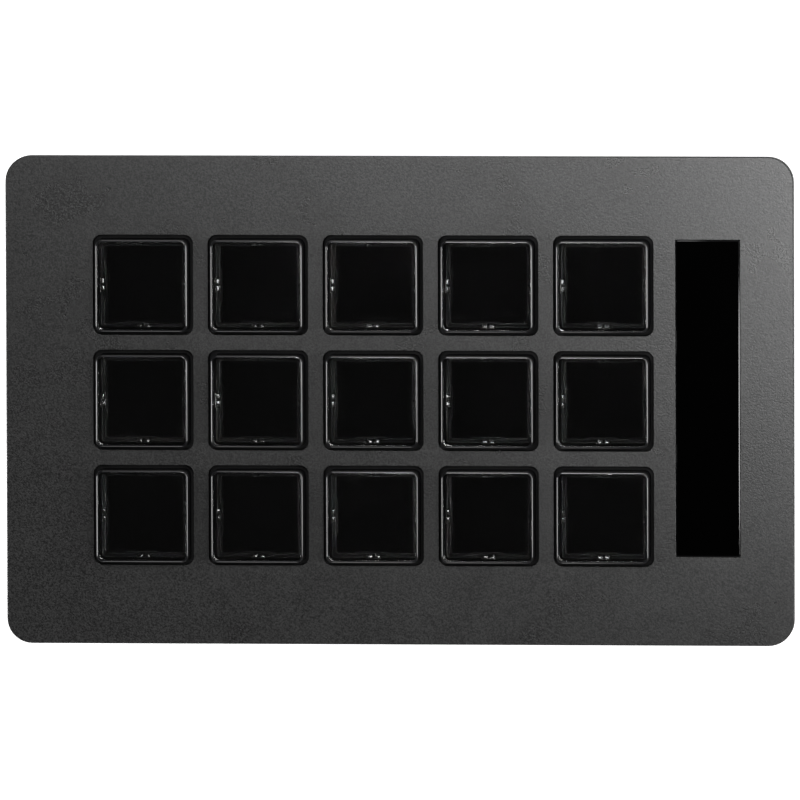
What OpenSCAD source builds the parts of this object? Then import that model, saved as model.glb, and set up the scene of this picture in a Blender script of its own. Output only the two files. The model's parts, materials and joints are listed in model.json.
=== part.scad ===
// Desk controller: three rows of five clear keys over one display, with a display strip beside them.
// The origin is the centre of the plate's footprint, on the desk. +X is right, +Y is the rear, +Z is up.

/* [Plate] */
// Plate's left edge to the first key well
left_margin = 14.45; // [13:0.05:24]
// Display strip to the plate's right edge
right_margin = 8.75; // [8.65:0.05:20]
// Field of the keys and the strip to the plate's front and rear edges
end_margin = 13; // [12.7:0.1:22]
// Radius of the plate's corners
corner_r = 4.2; // [3.4:0.1:7]
// Thickness of the plate
plate_t = 2.2; // [1.6:0.1:3]
// Rounding of the plate's upper edge
plate_edge_r = 0.35; // [0.1:0.05:0.6]
// Thickness of the locating lip under the plate
lip_t = 1; // [0.6:0.1:1.4]
// Depth of the locating lip
lip_h = 1; // [0.5:0.1:2]

/* [Keys] */
// Width of a key's rim
key_size = 15.2; // [13:0.1:18]
// Radius of a key's corners
key_corner_r = 1.1; // [0.8:0.1:2]
// Gap between a key and its well
key_gap = 0.65; // [0.4:0.05:1]
// Radius of a well's corners
well_corner_r = 1.4; // [0.8:0.1:2]
// Height of the rim above the plate
key_proud = 3; // [2.4:0.1:5]
// Travel of a key
key_travel = 1.5; // [1:0.1:2]
// Width of the rim seen from above
rim_w = 0.35; // [0.3:0.05:0.6]
// Rounding of the rim's outer edge
rim_r = 0.17; // [0.05:0.01:0.25]
// Reach of the flange beyond the key's side
flange_w = 1.2; // [1.2:0.1:2]
// Thickness of the flange
flange_t = 0.8; // [0.5:0.1:1.2]

/* [Key lenses] */
// Thickness of a lens
lens_t = 3.4; // [2:0.1:3.9]
// Depth of the lens below the rim
lens_recess = 0.25; // [0.1:0.05:0.5]
// Depth of the finger dish in the lens
lens_dish = 0.2; // [0.1:0.05:0.5]
// Width of the ledge that the lens sits on
ledge_w = 0.45; // [0.4:0.05:0.8]
// Width of the lip that frames a key's window
key_lip_w = 0.4; // [0.35:0.05:0.8]
// Radius of a snap peg
peg_r = 0.3; // [0.2:0.05:0.35]
// Spacing of the two pegs on a side
peg_spacing = 1.2; // [0.9:0.1:3]

/* [Display strip] */
// Width of the strip's opening
strip_w = 10.7; // [8:0.1:16]
// Length of the strip's opening
strip_d = 52.3; // [40:0.1:53]
// Offset of the strip's centre towards the rear
strip_y = 0.5; // [-0.6:0.1:0.6]
// Last key well to the strip
strip_gap = 3.6; // [3.3:0.1:8]
// Height of the strip's glass above the plate
strip_proud = 0.05; // [0:0.05:0.5]
// Bevel round the strip's glass
strip_bevel = 0.25; // [0.1:0.05:0.5]
// Reach of the glass's flange under the plate
strip_flange_w = 1.15; // [0.8:0.05:1.4]
// Thickness of the glass's flange
strip_flange_t = 0.8; // [0.5:0.1:1.2]

/* [Housing] */
// Inset of the housing's top edge from the plate's edge
housing_inset = 0.5; // [0.2:0.1:1]
// Draw-in of the housing's sides from top to bottom
taper = 3.2; // [2.4:0.1:3.4]
// Thickness of the housing's walls
wall_t = 2; // [1.4:0.1:2.1]
// Thickness of the bottom cover
cover_t = 2; // [1.7:0.1:3]
// Inset of the bottom cover from the housing's bottom edge
cover_inset = 0.3; // [0.1:0.1:0.8]
// Rounding of the cover's lower edge
cover_edge_r = 0.8; // [0.3:0.1:1.2]
// Radius of the bosses for the cover screws
boss_r = 2.9; // [2.4:0.1:3.1]
// Height of those bosses
boss_h = 8; // [7:0.5:12]

/* [Feet] */
// Length of a foot
foot_l = 20; // [14:1:30]
// Width of a foot
foot_w = 7; // [5:0.5:9]
// Height of a foot below the cover
foot_proud = 1; // [0.5:0.1:2]
// Depth of a foot's recess in the cover
foot_seat = 0.6; // [0.3:0.1:0.8]

/* [Display stack] */
// Thickness of the display panel
panel_t = 1.2; // [0.8:0.1:2]
// Border of the panel round what shows
panel_border = 2; // [1.5:0.1:2.2]
// Width of the panel's contact ledge, at the left
panel_ledge = 2.9; // [2:0.1:3.4]
// Thickness of the backlight
backlight_t = 1.7; // [1:0.1:3]
// Thickness of the tray's sheet
tray_t = 0.3; // [0.2:0.05:0.5]
// Thickness of the foam gasket
gasket_t = 0.3; // [0.2:0.05:0.6]
// Thickness of the contact board
contact_t = 0.8; // [0.6:0.1:1.6]
// Thickness of the mat's sheet
mat_t = 0.6; // [0.4:0.1:1]
// Wall of a dome ring
ring_web = 0.3; // [0.2:0.05:0.4]
// Thickness of the support plate
support_t = 1; // [0.6:0.1:1.6]

/* [Main board] */
// Width of the main board
board_w = 84; // [76:1:90]
// Depth of the main board
board_d = 50; // [44:1:54]
// Thickness of the main board
board_t = 1.2; // [0.8:0.1:1.6]
// Height of the standoffs under it
standoff_h = 3.2; // [2.6:0.1:5]
// Room above the main board
board_room = 3.8; // [3.6:0.1:6]
// Width of the socket's shell
usb_w = 8.94; // [8.9:0.02:9]
// Height of the socket's shell
usb_h = 3.16; // [3.1:0.02:3.2]
// Length of the socket's shell
usb_l = 7.35; // [6.8:0.05:10]
// Width of the recess for the plug
recess_w = 12.8; // [12.4:0.1:15]
// Height of the recess
recess_h = 7; // [6.6:0.1:7.4]
// Depth of the recess at the socket's height
recess_d = 4.5; // [4.2:0.1:6]

/* [Hidden] */
KEY_COLS = 5;
KEY_ROWS = 3;
facets = 64;
hull_facets = 32;
dish_facets = 180;
$fn = facets;
overrun = 1;
skin = 0.01;
min_r = 0.3;

// Running and seating gaps
flange_play = 0.1;
guide_gap = 0.2;
guide_rib = 1;
lens_gap = 0.05;
peg_gap = 0.1;
glass_gap = 0.1;
lip_gap = 0.1;
seat_gap = 0.05;
thread_gap = 0.03;
hole_gap = 0.15;
ring_gap = 0.3;
dome_gap = 0.1;
board_gap = 0.4;
strip_end_gap = 0.6;
tape_t = 0.1;

// Heights of the layers, from the desk up
guide_h = flange_t + key_travel + 2 * flange_play;
insulator_t = 0.2;
cover_z = foot_proud;
cover_top_z = cover_z + cover_t;
board_z = cover_top_z + standoff_h;
board_top_z = board_z + board_t;
insulator_z = board_top_z + board_room;
support_z = insulator_z + insulator_t;
tray_z = support_z + support_t;
backlight_z = tray_z + tray_t;
panel_z = backlight_z + backlight_t;
gasket_z = panel_z + panel_t;
contact_z = gasket_z + gasket_t;
mat_z = contact_z + contact_t;
guide_z = mat_z + mat_t;
plate_z = guide_z + guide_h;
plate_top_z = plate_z + plate_t;
rim_z = plate_top_z + key_proud;
flange_z = plate_z - flange_play - flange_t;
usb_z = board_top_z + usb_h / 2;

// Key, from the outside in
flange_size = key_size + 2 * flange_w;
well = key_size + 2 * key_gap;
aperture = flange_size + 2 * guide_gap;
key_pitch = aperture + guide_rib;
pocket = key_size - 2 * rim_w;
pocket_r = key_corner_r - rim_w;
shaft = pocket - 2 * ledge_w;
window = shaft - 2 * key_lip_w;
flange_corner_r = key_corner_r;
shaft_corner_r = min_r;
key_lip_t = 1.1;
lens = pocket - 2 * lens_gap;
lens_edge_r = 0.25;
lens_corner_r = pocket_r - lens_gap;
lens_z = rim_z - lens_recess - lens_t;
shaft_z = flange_z + key_lip_t;
dish_reach = lens / 2 - 2 * lens_edge_r;
dish_r = (pow(dish_reach, 2) + pow(lens_dish, 2)) / (2 * lens_dish);
peg_u = shaft / 2 - peg_r / 2;
peg_l = lens_z - shaft_z - peg_gap;

// Plan of the plate
grid_w = (KEY_COLS - 1) * key_pitch + well;
grid_d = (KEY_ROWS - 1) * key_pitch + well;
strip_reach = strip_d / 2 + abs(strip_y);
field_d = max(grid_d, 2 * (strip_reach + strip_end_gap));
body_w = left_margin + grid_w + strip_gap + strip_w + right_margin;
body_d = field_d + 2 * end_margin;
grid_x = left_margin + grid_w / 2 - body_w / 2;
strip_x = body_w / 2 - right_margin - strip_w / 2;

// Plan of the display stack: what shows, the panel, the tray and the whole stack
column_reach = (KEY_COLS - 1) / 2 * key_pitch;
row_reach = (KEY_ROWS - 1) / 2 * key_pitch;
view_x0 = grid_x - column_reach - window / 2;
view_x1 = strip_x + strip_w / 2;
view_reach = max(row_reach + window / 2, strip_reach);
panel_x0 = view_x0 - panel_border - panel_ledge;
panel_x1 = view_x1 + panel_border;
panel_reach = max(view_reach + panel_border, row_reach + aperture / 2 + guide_rib / 2);
tray_gap = 0.1;
tray_wall = 0.4;
tray_edge = tray_gap + tray_wall;
flange_x1 = view_x1 + strip_flange_w;
flange_reach = strip_reach + strip_flange_w;
guide_edge = guide_gap + guide_rib;
stack_x0 = min(panel_x0 - tray_edge, grid_x - column_reach - aperture / 2 - guide_rib);
stack_x1 = max(panel_x1 + tray_edge, flange_x1 + guide_edge);
stack_reach = max(panel_reach + tray_edge, row_reach + aperture / 2 + guide_rib, flange_reach + guide_edge);
mat_x0 = grid_x - column_reach - aperture / 2 - guide_rib / 2;
mat_x1 = grid_x + column_reach + aperture / 2 + guide_rib / 2;

// Dome rings of the mat
ring_in = window / 2 + ring_gap;
ring_out = flange_size / 2 - guide_gap;
ring_lean = 0.6;
ring_centre = ring_in - ring_lean;
ring_foot = ring_out + ring_web;
dome_h = flange_z - dome_gap - mat_z;

// Housing
housing_h = plate_z - cover_top_z;
housing_r = corner_r - housing_inset;
inner_r = max(housing_r - wall_t, min_r);
boss_wall = 0.4;
boss_edge = max(boss_r + boss_wall, housing_r - (housing_r - boss_r - boss_wall) * sqrt(1 / 2));
boss_inset = housing_inset + taper + boss_edge;
boss_x = body_w / 2 - boss_inset;
boss_y = body_d / 2 - boss_inset;
bottom_x = body_w / 2 - housing_inset - taper;
bottom_y = body_d / 2 - housing_inset - taper;
cover_x = bottom_x - cover_inset;
cover_y = bottom_y - cover_inset;
rib_t = 1.2;
rib_h = 1;
rib_x = bottom_x - wall_t - lip_gap;
rib_y = bottom_y - wall_t - lip_gap;
recess_wall = 1.2;
recess_r = 2;

// Outside of the housing's rear wall at the socket's height, and what stands in from it
rear_y = body_d / 2 - inset_at(usb_z);
mouth_y = rear_y - recess_d;
board_y1 = mouth_y - recess_wall - board_gap;
board_y0 = board_y1 - board_d;

// Screws: head radius, head height, shaft radius, length under the head
cover_screw = [2.2, 1.1, 1.2, 7];
stack_screw = [1.9, 1, 0.85, 5];
board_screw = [1.7, 0.9, 0.8, 3.4];
cover_bore_r = cover_screw[2] + thread_gap;
counterbore_gap = 0.2;
counterbore_d = cover_screw[1] + counterbore_gap - hole_gap;
slot_share = 0.32;
slot_t = 0.5;

// Bosses under the plate that carry the support plate
stack_boss_r = 2.2;
stack_ear_r = 2.5;
stack_boss_gap = 1.7;
stack_boss_y = stack_reach + stack_boss_gap + stack_boss_r;
stack_boss_span_shares = [-0.39, -0.14, 0.14, 0.39];
stack_bore_d = stack_screw[3] + overrun;

// Feet
foot_edge = 1.2;
foot_gap = 3;
foot_x = boss_x - boss_r - foot_gap - foot_l / 2;
foot_y = cover_y - foot_edge - foot_w / 2;

// Standoffs of the main board
standoff_r = 2.4;
standoff_inset = 3.5;
standoff_x = board_w / 2 - standoff_inset;
standoff_y = [board_y0 + standoff_inset, board_y1 - standoff_inset];

// Socket
shell_t = 0.3;
tongue = [6.69, 4.5, 0.7];
tongue_base = 1.1;
usb_y0 = mouth_y - usb_l;

// Ribbons and their sockets
ribbon_t = 0.2;
socket_size = [5, 24, 1.8];
socket_inset = 11;
socket_x = board_w / 2 - socket_inset;
ribbon_run_z = board_top_z + socket_size[2] / 2;
ribbon_mid_y = (board_y0 + board_y1) / 2;
lcd_ribbon_w = 20;
panel_ledge_t = 0.3;
lcd_ribbon_z = panel_z + panel_ledge_t;
lcd_ribbon_lead = 2;
lcd_ribbon_r = 1.8;
contact_ribbon_w = 16;
contact_ribbon_z = contact_z + contact_t / 2;
contact_ribbon_lead = 0.35;
contact_ribbon_r = 0.9;

// Main board's parts: a pinned chip, memory, coils, a crystal and a row of small parts
chip = [12, 12, 1.4];
chip_pin = [1, 0.4, 0.5];
chip_pin_count = 12;
memory = [8, 6, 1];
coil_r = 2.5;
coil_h = 2.4;
crystal = [3.2, 2.5, 0.8];
small_part = [1.6, 0.8, 0.8];

// Inset of the housing's outside from the plate's edge at a height
function inset_at(z) = housing_inset + taper * (plate_z - z) / housing_h;

// Rectangle about the origin with round corners
module rounded_rect(w, d, r) {
    square([w - 2 * r, d], center = true);
    square([w, d - 2 * r], center = true);
    for (x = [-1, 1], y = [-1, 1])
        translate([x * (w / 2 - r), y * (d / 2 - r)]) circle(r);
}

// The same, as a block
module rounded_slab(w, d, h, r) linear_extrude(h) rounded_rect(w, d, r);

// Block between two X places, symmetric about the X axis
module span_block(x0, x1, reach, h) translate([x0, -reach, 0]) cube([x1 - x0, 2 * reach, h]);

// Sweeps a profile, drawn outwards from the corner's centre, round a rectangle of such centres
module sweep_round(half_x, half_y) for (k = [0:3]) rotate(90 * k) {
    x = k % 2 == 0 ? half_x : half_y;
    y = k % 2 == 0 ? half_y : half_x;
    translate([x, y, 0]) rotate_extrude(angle = 90) children();
    translate([x, y, 0]) rotate([90, 0, 0]) linear_extrude(2 * y) children();
}

// Upright block with round corners and a rounded upper edge
module rounded_block(w, d, h, r, edge_r) {
    x = w / 2 - r;
    y = d / 2 - r;
    span_block(-x, x, y, h);
    sweep_round(x, y) {
        union() {
            square([r, h - edge_r]);
            square([r - edge_r, h]);
            translate([r - edge_r, h - edge_r]) circle(edge_r);
        }
    }
}

// Solid with the housing's draft between two heights, drawn in by a further inset
module drafted(z0, z1, inset, r) hull() for (z = [z0, z1 - skin])
    translate([0, 0, z])
        linear_extrude(skin)
            rounded_rect(body_w - 2 * (inset_at(z) + inset), body_d - 2 * (inset_at(z) + inset), r, $fn = hull_facets);

// Screw with its head down, its head's seat at height zero and its shaft upwards
module screw(spec) difference() {
    union() {
        translate([0, 0, -spec[1]]) cylinder(r = spec[0], h = spec[1]);
        cylinder(r = spec[2], h = spec[3]);
    }
    for (k = [0, 1]) rotate(90 * k)
        translate([0, 0, -spec[1]])
            cube([2 * spec[0] * (1 - slot_share), slot_t, spec[1]], center = true);
}

module at_key(row, col)
    translate([grid_x + (col - 1) * key_pitch - column_reach, row_reach - (row - 1) * key_pitch, 0]) children();

module at_keys() for (row = [1:KEY_ROWS], col = [1:KEY_COLS]) at_key(row, col) children();

module at_corners(x, y) for (i = [-1, 1], j = [-1, 1]) translate([i * x, j * y, 0]) children();

module at_stack_bosses() for (share = stack_boss_span_shares, j = [-1, 1])
    translate([share * (body_w - 2 * boss_inset), j * stack_boss_y, 0]) children();

module at_standoffs() for (i = [-1, 1], y = standoff_y) translate([i * standoff_x, y, 0]) children();

module top_plate() color("#3d3e41") difference() {
    union() {
        translate([0, 0, plate_z]) rounded_block(body_w, body_d, plate_t, corner_r, plate_edge_r);
        translate([0, 0, plate_z - lip_h]) plate_lip();
        at_stack_bosses() translate([0, 0, tray_z]) cylinder(r = stack_boss_r, h = plate_z - tray_z + plate_t / 2);
    }
    at_keys() translate([0, 0, plate_z - overrun])
        rounded_slab(well, well, plate_t + 2 * overrun, well_corner_r);
    translate([strip_x, strip_y, plate_z]) cube([strip_w, strip_d, 3 * plate_t], center = true);
    at_stack_bosses() translate([0, 0, tray_z - overrun])
        cylinder(r = stack_screw[2] + thread_gap, h = stack_bore_d + overrun);
}

module plate_lip() {
    edge = housing_inset + wall_t + lip_gap + taper * lip_h / housing_h;
    difference() {
        rounded_slab(body_w - 2 * edge, body_d - 2 * edge, lip_h + plate_t / 2, inner_r);
        translate([0, 0, -overrun])
            rounded_slab(body_w - 2 * (edge + lip_t), body_d - 2 * (edge + lip_t), lip_h + overrun, min_r);
    }
}

// Glass bevelled on its four upper edges
module bevelled_glass(w, d, h, bevel) intersection() {
    rotate([90, 0, 0]) linear_extrude(2 * d, center = true) bevelled_section(w, h, bevel);
    rotate([90, 0, 90]) linear_extrude(2 * w, center = true) bevelled_section(d, h, bevel);
}

module bevelled_section(w, h, bevel) polygon([
    [-w / 2, 0], [w / 2, 0], [w / 2, h - bevel],
    [w / 2 - bevel, h], [bevel - w / 2, h], [-w / 2, h - bevel]
]);

module strip_window() color("#050506") translate([strip_x, strip_y, plate_z - tape_t - strip_flange_t]) {
    rounded_slab(strip_w + 2 * strip_flange_w, strip_d + 2 * strip_flange_w, strip_flange_t, min_r);
    bevelled_glass(
        strip_w - 2 * glass_gap, strip_d - 2 * glass_gap,
        strip_flange_t + tape_t + plate_t + strip_proud, strip_bevel
    );
}

module window_tape() color("#222222") translate([strip_x, strip_y, plate_z - tape_t]) linear_extrude(tape_t)
    difference() {
        rounded_rect(strip_w + 2 * strip_flange_w, strip_d + 2 * strip_flange_w, min_r);
        square([strip_w, strip_d], center = true);
    }

module housing() color("#1c1c1e") difference() {
    union() {
        difference() {
            drafted(cover_top_z, plate_z, 0, housing_r);
            drafted(cover_top_z - overrun, plate_z + overrun, wall_t, inner_r);
        }
        at_corners(boss_x, boss_y) translate([0, 0, cover_top_z]) cylinder(r = boss_r, h = boss_h);
        plug_recess(recess_w + 2 * recess_wall, recess_h + 2 * recess_wall, -recess_wall, recess_d - wall_t / 2);
    }
    at_corners(boss_x, boss_y) translate([0, 0, cover_top_z - overrun])
        cylinder(r = cover_bore_r, h = boss_h);
    plug_recess(recess_w, recess_h, 0, recess_d + taper);
    plug_recess(usb_w + 2 * hole_gap, usb_h + 2 * hole_gap, -recess_wall - overrun, overrun);
}

// Rounded bar along Y at the socket, between two distances from the socket's mouth
module plug_recess(w, h, y0, y1) translate([0, mouth_y + y1, usb_z])
    rotate([90, 0, 0])
        rounded_slab(w, h, y1 - y0, min(recess_r, h / 2 - skin));

module bottom_cover() color("#161617") difference() {
    union() {
        translate([0, 0, cover_top_z]) mirror([0, 0, 1])
            rounded_block(2 * cover_x, 2 * cover_y, cover_t, housing_r, cover_edge_r);
        for (j = [-1, 1]) translate([-body_w / 4, j * (rib_y - rib_t / 2) - rib_t / 2, cover_top_z - rib_h])
            cube([body_w / 2, rib_t, 2 * rib_h]);
        for (i = [-1, 1]) translate([i * (rib_x - rib_t / 2) - rib_t / 2, -body_d / 6, cover_top_z - rib_h])
            cube([rib_t, body_d / 3, 2 * rib_h]);
        at_standoffs() translate([0, 0, cover_top_z - cover_t / 2])
            cylinder(r = standoff_r, h = standoff_h + cover_t / 2);
    }
    at_corners(boss_x, boss_y) {
        translate([0, 0, cover_z - overrun]) cylinder(r = cover_screw[2] + hole_gap, h = cover_t + 2 * overrun);
        translate([0, 0, cover_z - overrun])
            cylinder(r = cover_screw[0] + hole_gap, h = counterbore_d + overrun);
    }
    at_corners(foot_x, foot_y) translate([0, 0, cover_z - overrun])
        rounded_slab(foot_l + 2 * seat_gap, foot_w + 2 * seat_gap, foot_seat + overrun, foot_w / 2 + seat_gap - skin);
    at_standoffs() translate([0, 0, cover_top_z]) cylinder(r = board_screw[2] + thread_gap, h = standoff_h + overrun);
}

module rubber_feet() color("#0c0c0c") at_corners(foot_x, foot_y)
    rounded_slab(foot_l, foot_w, foot_proud + foot_seat, foot_w / 2 - skin);

module cover_screws() color("#2a2a2c") at_corners(boss_x, boss_y)
    translate([0, 0, cover_z + counterbore_d]) screw(cover_screw);

module stack_screws() color("#b9bbc0") at_stack_bosses() translate([0, 0, support_z]) screw(stack_screw);

module board_screws() color("#b9bbc0") at_standoffs()
    translate([0, 0, board_top_z]) mirror([0, 0, 1]) screw(board_screw);

module key_guide() color("#242426") difference() {
    union() {
        translate([0, 0, guide_z]) span_block(stack_x0, stack_x1, stack_reach, guide_h);
        translate([0, 0, mat_z]) span_block(mat_x1 + guide_gap, stack_x1, stack_reach, mat_t + guide_h / 2);
    }
    at_keys() translate([0, 0, guide_z - overrun])
        rounded_slab(aperture, aperture, guide_h + 2 * overrun, flange_corner_r + guide_gap);
    translate([strip_x, strip_y, mat_z - overrun])
        rounded_slab(
            strip_w + 2 * (strip_flange_w + guide_gap), strip_d + 2 * (strip_flange_w + guide_gap),
            guide_h + mat_t + 2 * overrun, min_r
        );
}

// Arched section of a dome ring: two leaning webs and the pad that carries the flange
module ring_section() {
    inner = ring_in - ring_centre;
    outer = ring_out - ring_centre;
    foot = ring_foot - ring_centre;
    polygon([
        [inner, 0], [inner, mat_t], [inner + ring_lean, dome_h], [outer - ring_lean, dome_h],
        [outer, mat_t], [foot, mat_t], [foot, 0], [outer - ring_web, 0],
        [outer - ring_lean - ring_web / 2, dome_h - 2 * ring_web],
        [inner + ring_lean + ring_web / 2, dome_h - 2 * ring_web], [inner + ring_web, 0]
    ]);
}

module dome_mat() color("#38383b") translate([0, 0, mat_z]) {
    difference() {
        span_block(mat_x0, mat_x1, panel_reach, mat_t);
        at_keys() translate([0, 0, -overrun])
            rounded_slab(2 * ring_out + ring_web, 2 * ring_out + ring_web, mat_t + 2 * overrun, ring_out - ring_centre);
    }
    at_keys() sweep_round(ring_centre, ring_centre) ring_section();
}

module contact_board() color("#16181a") translate([0, 0, contact_z]) difference() {
    span_block(stack_x0, stack_x1, stack_reach, contact_t);
    at_keys() translate([0, 0, -overrun])
        rounded_slab(window + ring_gap, window + ring_gap, contact_t + 2 * overrun, min_r);
    translate([strip_x, strip_y, -overrun])
        rounded_slab(strip_w + ring_gap, strip_d + ring_gap, contact_t + 2 * overrun, min_r);
}

module lcd_gasket() color("#101010") translate([0, 0, gasket_z]) difference() {
    span_block(view_x0 - panel_border, panel_x1, panel_reach, gasket_t);
    translate([0, 0, -overrun])
        span_block(view_x0 - ring_gap, view_x1 + ring_gap, view_reach + ring_gap, gasket_t + 2 * overrun);
}

module lcd_panel() color("#08080a") translate([0, 0, panel_z])
    span_block(panel_x0, panel_x1, panel_reach, panel_t);

module lcd_backlight() color("#e9eaec") translate([0, 0, backlight_z])
    span_block(panel_x0, panel_x1, panel_reach, backlight_t);

module lcd_tray() color("#9a9ca0") translate([0, 0, tray_z]) difference() {
    span_block(panel_x0 - tray_edge, panel_x1 + tray_edge, panel_reach + tray_edge, tray_t + backlight_t);
    translate([0, 0, tray_t])
        span_block(panel_x0 - tray_gap, panel_x1 + tray_gap, panel_reach + tray_gap, backlight_t + overrun);
}

module support_plate() color("#8e9094") translate([0, 0, support_z]) difference() {
    union() {
        span_block(stack_x0, stack_x1, stack_reach, support_t);
        at_stack_bosses() cylinder(r = stack_ear_r, h = support_t);
        for (share = stack_boss_span_shares)
            translate([share * (body_w - 2 * boss_inset), 0, support_t / 2])
                cube([2 * stack_ear_r, 2 * stack_boss_y, support_t], center = true);
    }
    at_stack_bosses() translate([0, 0, -overrun])
        cylinder(r = stack_screw[2] + hole_gap, h = support_t + 2 * overrun);
}

module insulator_sheet() color("#d9b35a") translate([0, 0, insulator_z])
    span_block(-board_w / 2, board_w / 2, view_reach, insulator_t);

// Quarter ring about the origin, in the first quadrant
module quarter_bend(r) intersection() {
    difference() {
        circle(r + ribbon_t / 2);
        circle(r - ribbon_t / 2);
    }
    square(2 * r);
}

// Side view of a ribbon that leaves a layer at height z, turns down by two bends and runs back in.
// It starts at the origin's X and ends at the distance run to the left.
module ribbon_side(lead, r, z, run) translate([0, -ribbon_t / 2]) {
    translate([0, z]) square([lead, ribbon_t]);
    translate([lead, z - r + ribbon_t / 2]) quarter_bend(r);
    translate([lead + r - ribbon_t / 2, ribbon_run_z + r + ribbon_t / 2])
        square([ribbon_t, z - ribbon_run_z - 2 * r]);
    translate([lead, ribbon_run_z + r + ribbon_t / 2]) mirror([0, 1]) quarter_bend(r);
    translate([-run, ribbon_run_z]) square([lead + run, ribbon_t]);
}

module lcd_ribbon() color("#b7742a") translate([panel_x0, ribbon_mid_y, 0])
    rotate([90, 0, 180]) linear_extrude(lcd_ribbon_w, center = true)
        ribbon_side(lcd_ribbon_lead, lcd_ribbon_r, lcd_ribbon_z, -panel_x0 - socket_x);

module contact_ribbon() color("#b7742a") translate([stack_x1, ribbon_mid_y, 0])
    rotate([90, 0, 0]) linear_extrude(contact_ribbon_w, center = true)
        ribbon_side(contact_ribbon_lead, contact_ribbon_r, contact_ribbon_z, stack_x1 - socket_x);

module ribbon_sockets() color("#ddd8cc") for (i = [-1, 1])
    translate([i * (socket_x - socket_size[0] / 2), ribbon_mid_y, board_top_z + socket_size[2] / 2])
        cube(socket_size, center = true);

module main_board() color("#14532f") translate([0, 0, board_z]) difference() {
    translate([-board_w / 2, board_y0, 0]) cube([board_w, board_d, board_t]);
    at_standoffs() translate([0, 0, -overrun]) cylinder(r = board_screw[2] + hole_gap, h = board_t + 2 * overrun);
}

// Flat package with pins on its four sides
module pinned_chip(size, pins, pin) {
    translate([0, 0, size[2] / 2]) cube(size, center = true);
    for (k = [0:3], n = [0:pins - 1]) rotate(90 * k)
        translate([size[0] / 2 + pin[0] / 2, (n - (pins - 1) / 2) * 2 * pin[1], pin[2] / 2])
            cube([pin[0] + skin, pin[1], pin[2]], center = true);
}

module board_chips() color("#232326") translate([0, 0, board_top_z]) {
    translate([0, ribbon_mid_y, 0]) pinned_chip(chip, chip_pin_count, chip_pin);
    for (i = [-1, 1]) translate([i * (chip[0] + memory[0] / 2), ribbon_mid_y + memory[1], memory[2] / 2])
        cube(memory, center = true);
    for (i = [-1, 1]) translate([i * chip[0], board_y1 - 2 * usb_l + coil_r, 0]) cylinder(r = coil_r, h = coil_h);
    translate([0, ribbon_mid_y - chip[1], crystal[2] / 2]) cube(crystal, center = true);
    for (n = [-4:4]) translate([n * 3 * small_part[0], board_y0 + standoff_inset, small_part[2] / 2])
        cube(small_part, center = true);
}

module usb_socket() color("#c6c8cc") translate([0, mouth_y, usb_z]) rotate([90, 0, 0]) difference() {
    rounded_slab(usb_w, usb_h, usb_l, usb_h / 2 - skin);
    translate([0, 0, -overrun])
        rounded_slab(usb_w - 2 * shell_t, usb_h - 2 * shell_t, usb_l + 2 * overrun, usb_h / 2 - shell_t - skin);
}

module usb_tongue() color("#111111") translate([0, usb_y0, usb_z]) {
    translate([0, tongue_base, 0]) rotate([90, 0, 0])
        rounded_slab(
            usb_w - 2 * shell_t - skin, usb_h - 2 * shell_t - skin, tongue_base, usb_h / 2 - shell_t - 2 * skin
        );
    translate([-tongue[0] / 2, 0, -tongue[2] / 2]) cube([tongue[0], tongue_base + tongue[1], tongue[2]]);
}

module key_frame(row, col) color("#0d0d0f") at_key(row, col) difference() {
    union() {
        translate([0, 0, flange_z]) rounded_slab(flange_size, flange_size, flange_t, flange_corner_r);
        translate([0, 0, flange_z]) rounded_block(key_size, key_size, rim_z - flange_z, key_corner_r, rim_r);
    }
    translate([0, 0, lens_z]) rounded_slab(pocket, pocket, rim_z - lens_z + overrun, pocket_r);
    translate([0, 0, shaft_z]) rounded_slab(shaft, shaft, lens_z - shaft_z + overrun, shaft_corner_r);
    translate([0, 0, flange_z - overrun])
        rounded_slab(window, window, key_lip_t + 2 * overrun, shaft_corner_r);
    for (k = [0:3]) rotate(90 * k) translate([0, -peg_spacing / 2 - peg_r - peg_gap, shaft_z])
        cube([peg_u + peg_r + peg_gap, peg_spacing + 2 * (peg_r + peg_gap), lens_z - shaft_z + overrun]);
}

module key_lens(row, col) color([0.75, 0.8, 0.85, 0.35]) at_key(row, col) translate([0, 0, lens_z]) {
    difference() {
        rounded_block(lens, lens, lens_t, lens_corner_r, lens_edge_r);
        translate([0, 0, lens_t - lens_dish + dish_r]) sphere(dish_r, $fn = dish_facets);
    }
    for (k = [0:3], j = [-1, 1]) rotate(90 * k) translate([peg_u, j * peg_spacing / 2, -peg_l])
        cylinder(r = peg_r, h = peg_l + lens_t / 2);
}

top_plate();
strip_window();
window_tape();
housing();
bottom_cover();
rubber_feet();
cover_screws();
key_guide();
dome_mat();
contact_board();
lcd_gasket();
lcd_panel();
lcd_backlight();
lcd_tray();
support_plate();
stack_screws();
insulator_sheet();
lcd_ribbon();
contact_ribbon();
main_board();
board_chips();
ribbon_sockets();
usb_socket();
usb_tongue();
board_screws();
for (row = [1:KEY_ROWS], col = [1:KEY_COLS]) {
    key_frame(row, col);
    key_lens(row, col);
}
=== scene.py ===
"""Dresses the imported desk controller: fifteen clear keys and a display strip in a dark moulded plate.

Sizes in the classes below are in millimetres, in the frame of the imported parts. Meshes are made in metres.
"""

from __future__ import annotations

import json
import logging
import math
from collections.abc import Callable, Sequence
from dataclasses import dataclass, field
from enum import Enum
from typing import Any

import bmesh
import bpy
from bmesh.types import BMesh, BMFace, BMVert
from bpy.types import ID, Material, Mesh, Node, NodeSocket, NodeTree, Object
from mathutils import Matrix, Vector

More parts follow.
